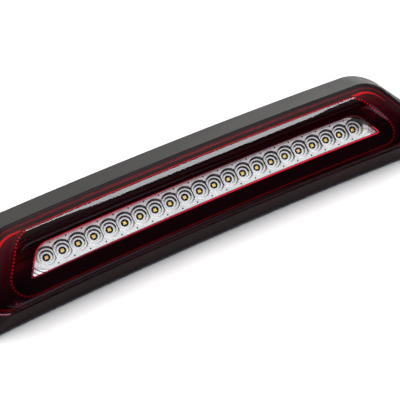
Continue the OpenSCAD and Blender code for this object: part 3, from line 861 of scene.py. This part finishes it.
# ---------------------------------------------------------------- studs with real threads
STUD_FOOT = 5.5       # radius of the collar that a stud stands on
STUD_BASE = (         # radius and depth of a stud up to its thread
    (3.6, -GASKET_T - 2), (3.6, -GASKET_T), (5.1, -GASKET_T), (STUD_FOOT, -GASKET_T + 0.4),
    (STUD_FOOT, -0.4), (5.1, 0.0), (2.7, 0.0))
STUD_SIDES = 28
THREAD_RADIUS = 3.0
THREAD_PITCH = 1.0
THREAD_DEEP = 0.32
THREAD_ROWS = 8       # rings of points to one turn of the thread


def stud_rings(x, z, end):
    """One stud's rings from its base to its end, with a thread along its shank."""
    count = int((end - 1.8) * THREAD_ROWS / THREAD_PITCH)
    base = [(radius, y, 0) for radius, y in STUD_BASE]
    shank = [(THREAD_RADIUS, 0.6 + k * THREAD_PITCH / THREAD_ROWS, THREAD_DEEP) for k in range(count)]
    tip = [(THREAD_RADIUS - 0.4, end - 0.8, 0), (THREAD_RADIUS - 0.9, end, 0)]
    rings = []
    for radius, y, cut in base + shank + tip:
        points = []
        for s in range(STUD_SIDES):
            angle = 2 * math.pi * s / STUD_SIDES
            r = radius - cut * zigzag(y / THREAD_PITCH + s / STUD_SIDES)
            points.append((x + r * math.cos(angle), y, z + r * math.sin(angle)))
        rings.append(points)
    return rings


def studs():
    """The four threaded studs, placed by the box of the CAD's own."""
    low, high = (Vector(corner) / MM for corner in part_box("mounting_studs"))
    stud_x = (high.x - low.x) / 2 - STUD_FOOT
    stud_z = (high.z - low.z) / 2 - STUD_FOOT
    vertices, faces = [], []
    for x in (-stud_x, stud_x):
        for z in (-stud_z, stud_z):
            add_tube(vertices, faces, stud_rings(x, z, high.y))
    return finish_piece(mesh_object("threaded_studs", vertices, faces), "stud_zinc",
                        "mounting_studs")


def dress_cad_nodes():
    """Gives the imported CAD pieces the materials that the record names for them."""
    slots = {entry["node"]: entry["material_slot"] for entry in frame["record"]["subparts"]}
    for name, node in frame["nodes"].items():
        material = MATERIALS.get(slots[name])
        if material:
            for slot in node.material_slots:
                slot.material = material


# ---------------------------------------------------------------- stage, light and camera
PANEL_REACH = (0.36, 1.0, 0.24)    # how far the panel is seen from the lamp's middle, in metres
PANEL_EDGE = 0.3      # share of that reach over which the panel fades
PANEL_CORNERS = ((-2, 0, -0.6), (2, 0, -0.6), (2, 0, 1.6), (-2, 0, 1.6))   # in metres


def panel_material():
    """A white wall, seen only from its front and fading into the white studio away from the lamp,
    casting no shadow, and greyer in the lamp's reflections, where painted shade darkens and reddens
    it below the lamp."""
    material, tree = new_material("panel")
    paper = ramp(tree, noise(tree, 30, 2, 0.5), (0.93, 0.93, 0.93), (0.95, 0.95, 0.95))
    # Painted shade: the grey that the lamp mirrors is darker and redder below the lamp
    height = span(tree, axes(tree, own_space(tree))["Z"], 0, 1, -0.06, 0.06)
    mirrored = ramp(tree, height, (0.15, 0.1, 0.105), (0.3, 0.3, 0.29), 0, 1)
    path = add(tree, "ShaderNodeLightPath").outputs
    white = add(tree, "ShaderNodeBsdfDiffuse", Color=paper)
    grey = add(tree, "ShaderNodeBsdfDiffuse", Color=mirrored)
    wall = mixed(tree, path["Is Glossy Ray"], white, grey)
    back = add(tree, "ShaderNodeNewGeometry").outputs["Backfacing"]
    open_side = calculate(tree, "MAXIMUM", back, path["Is Shadow Ray"])
    far = span(tree, nearness(tree, PANEL_REACH), 1, 0, 0, PANEL_EDGE)
    faded = calculate(tree, "MULTIPLY", far, path["Is Camera Ray"])
    unseen = calculate(tree, "MAXIMUM", open_side, faded)
    clear = add(tree, "ShaderNodeBsdfTransparent")
    return finished(material, mixed(tree, unseen, wall, clear))


def stage_object(name, corners, material):
    """A flat piece of the stage through corners in metres."""
    mesh = bpy.data.meshes.new(name)
    mesh.from_pydata(corners, [], [tuple(range(len(corners)))])
    mesh.materials.append(material)
    flat = bpy.data.objects.new(name, mesh)
    scene.collection.objects.link(flat)
    return flat


# The softbox that the lens's crest mirrors: a flat top edge and a bowed lower edge, (x, z) in
# metres on an upright plane in front of the lamp
SOFTBOX_Y = -0.72
SOFTBOX_EDGE = ((-0.15, 0.95), (-0.09, 0.72), (-0.02, 0.52), (0.06, 0.42), (0.2, 0.39),
                (0.36, 0.40), (0.48, 0.46), (0.6, 0.58), (0.72, 0.76), (0.84, 1.02), (0.3, 0.94))
# The bluish card below the lamp that the lens mirrors in its pocket
POCKET_CARD = ((-0.5, -0.78, -0.33), (0.3, -0.78, -0.33), (0.3, -0.1, -0.33), (-0.5, -0.1, -0.33))
POCKET_REACH = (0.4, 0.34, 1)


def glowing_card(name, corners, radiance, colour, reach=None):
    """A flat shape that lights only what mirrors it; with a reach it fades from its middle."""
    material, tree = new_material(name)
    strength = span(tree, nearness(tree, reach), 0, radiance) if reach else radiance
    finished(material, add(tree, "ShaderNodeEmission", Color=(*colour, 1), Strength=strength))
    middle = Vector([sum(c[k] for c in corners) / len(corners) for k in range(3)])
    card = stage_object(name, [Vector(c) - middle for c in corners], material)
    card.location = middle
    card.visible_camera = card.visible_diffuse = card.visible_shadow = False
    return card


def area_light(name, place, target, size, radiance):
    """A rectangular light in metres, turned from its place to its target."""
    data = bpy.data.lights.new(name, "AREA")
    data.shape = "RECTANGLE"
    data.size, data.size_y = size
    data.energy = radiance * math.pi * size[0] * size[1]
    lamp = bpy.data.objects.new(name, data)
    lamp.location = place
    lamp.rotation_euler = (Vector(target) - Vector(place)).to_track_quat("-Z", "Y").to_euler()
    scene.collection.objects.link(lamp)
    return lamp


def collect(name, *pieces):
    """A collection of pieces, for light linking."""
    group = bpy.data.collections.new(name)
    for piece in pieces:
        group.objects.link(bpy.data.objects[piece])
    return group


def light_only(lamp, *names):
    """Keeps a light to the named pieces, as a flag or a snoot does in a studio; only the
    housing casts its shadow."""
    lamp.light_linking.receiver_collection = collect(lamp.name + "_receivers", *names)
    lamp.light_linking.blocker_collection = collect(lamp.name + "_blockers", "housing_shell")


def keep_off(lamp, name):
    """Keeps a light from one piece."""
    receivers = collect(lamp.name + "_receivers", name)
    receivers.collection_objects[0].light_linking.link_state = "EXCLUDE"
    lamp.light_linking.receiver_collection = receivers


def build_lights():
    """A broad bank in front, cards that the lens and the reflector mirror, lights behind."""
    bank = area_light("front_bank", (0.0, -1.7, 0.7), (0, 0, 0.05), (3.4, 1.4), 5.0)
    bank.visible_glossy = False
    softbox = [(x, SOFTBOX_Y, z) for x, z in SOFTBOX_EDGE]
    light_only(glowing_card("softbox", softbox, 10, (0.94, 0.97, 1.0)), "lens_shell")
    light_only(glowing_card("pocket_card", POCKET_CARD, 1.2, (0.75, 0.78, 1.0), POCKET_REACH),
               "lens_shell")
    front_card = area_light("front_card", (0.25, -0.75, 0.09), (0, 0, 0.09), (1.4, 0.56), 0.62)
    upper_card = area_light("upper_card", (0.1, -0.6, 0.6), (0, 0, 0), (1.3, 0.4), 1.4)
    low_card = area_light("low_card", (-0.75, -0.7, -0.55), (0, 0, 0), (1.4, 0.7), 0.4)
    for card in (front_card, upper_card, low_card):
        card.visible_diffuse = False
        light_only(card, "reflector_cups", "reflector_pips")
    keep_off(area_light("rear_key", (0.9, 1.5, 0.9), (0, 0, 0), (1.2, 0.9), 14), "lens_shell")
    keep_off(area_light("rear_fill", (-1.2, 1.3, 0.1), (0, 0, 0), (0.9, 0.9), 7), "lens_shell")


def build_world():
    """A studio that is white to the camera, and dark below to grey above for everything else."""
    world = bpy.data.worlds.new("studio")
    scene.world = world
    world.use_nodes = True
    tree = world.node_tree
    tree.nodes.clear()
    way = add(tree, "ShaderNodeTexCoord").outputs["Generated"]
    height = span(tree, axes(tree, way)["Z"], 0, 1, -1, 1)
    shade = ramp(tree, height, (0.03, 0.03, 0.045), (0.5, 0.5, 0.51), 0.55, 1.0)
    dim = add(tree, "ShaderNodeBackground", Color=shade, Strength=1.0)
    white = add(tree, "ShaderNodeBackground", Color=(1, 1, 1, 1), Strength=1.0)
    seen = add(tree, "ShaderNodeLightPath").outputs["Is Camera Ray"]
    finished(world, mixed(tree, seen, dim, white), "ShaderNodeOutputWorld")


CAMERA_FROM_ROW = (-159.6, -557.1, -125.9)     # mm from the middle of the LED row
CAMERA_YAW, CAMERA_PITCH, CAMERA_ROLL = (math.radians(a) for a in (15.18, 11.71, -25.93))
CAMERA_LENS = 72.61


def build_camera():
    """The photograph's camera, fitted to the LED row, the cups' rims and the window's corners."""
    data = bpy.data.cameras.new("camera")
    data.lens = CAMERA_LENS
    data.sensor_width = 36
    data.dof.use_dof = False
    camera = bpy.data.objects.new("camera", data)
    place = (Vector((0, LED_Y, ROW_Z)) + Vector(CAMERA_FROM_ROW)) * MM
    camera.matrix_world = (Matrix.Translation(place) @ Matrix.Rotation(-CAMERA_YAW, 4, "Z")
                           @ Matrix.Rotation(math.pi / 2 + CAMERA_PITCH, 4, "X")
                           @ Matrix.Rotation(CAMERA_ROLL, 4, "Z"))
    scene.collection.objects.link(camera)
    scene.camera = camera


build_camera()
dress_cad_nodes()
housing()
outer_lens()
lens_lip()
clear_window()
painted_corner_glints()
bezel_rim()
bezel_floor()
window_joint()
guide_loop()
guide_prisms()
reflector()
reflector_pips()
cargo_leds()
studs()
stage_object("panel", PANEL_CORNERS, panel_material())
build_lights()
build_world()
scene.view_settings.view_transform = "Standard"
